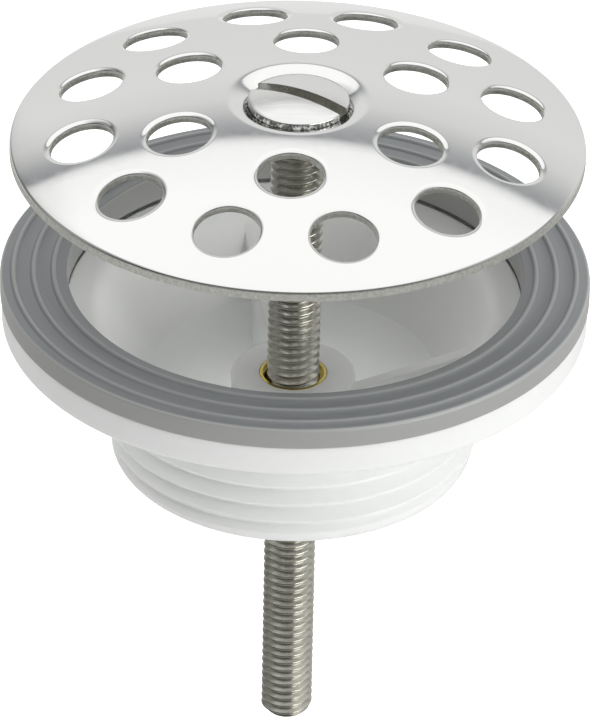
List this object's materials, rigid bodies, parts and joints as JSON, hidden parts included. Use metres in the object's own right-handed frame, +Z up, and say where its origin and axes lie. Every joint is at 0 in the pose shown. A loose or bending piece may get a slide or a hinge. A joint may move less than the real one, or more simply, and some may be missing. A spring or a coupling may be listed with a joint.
{
  "type": "basin waste fitting",
  "caption": "Clamp-on basin waste: domed strainer plate on a long slotted screw over a ribbed rubber seal and a white flanged body with a threaded spigot.",
  "frame": {"origin": "centre of the sealing plane, where the crests of the seal's ridges meet the underside of the basin", "axes": "+Z up along the screw's axis, from the outlet spigot to the strainer plate; the fitting is round about Z, and X and Y only set the turn of the holes, the ribs and the driver slot"},
  "size_m": [0.0653, 0.0652, 0.0819],
  "materials": {
    "polished_steel": "polished stainless steel with a blanked, matt edge",
    "screw_steel": "plain stainless steel, turned head and rolled thread",
    "seal_rubber": "matt grey moulded rubber",
    "white_plastic": "white moulded plastic, satin",
    "insert_brass": "plain turned brass"
  },
  "bodies": {
    "root": {"strainer_plate": "polished_steel", "clamp_screw": "screw_steel", "seal_ring": "seal_rubber", "waste_body": "white_plastic", "threaded_insert": "insert_brass"}
  },
  "joints": []
}
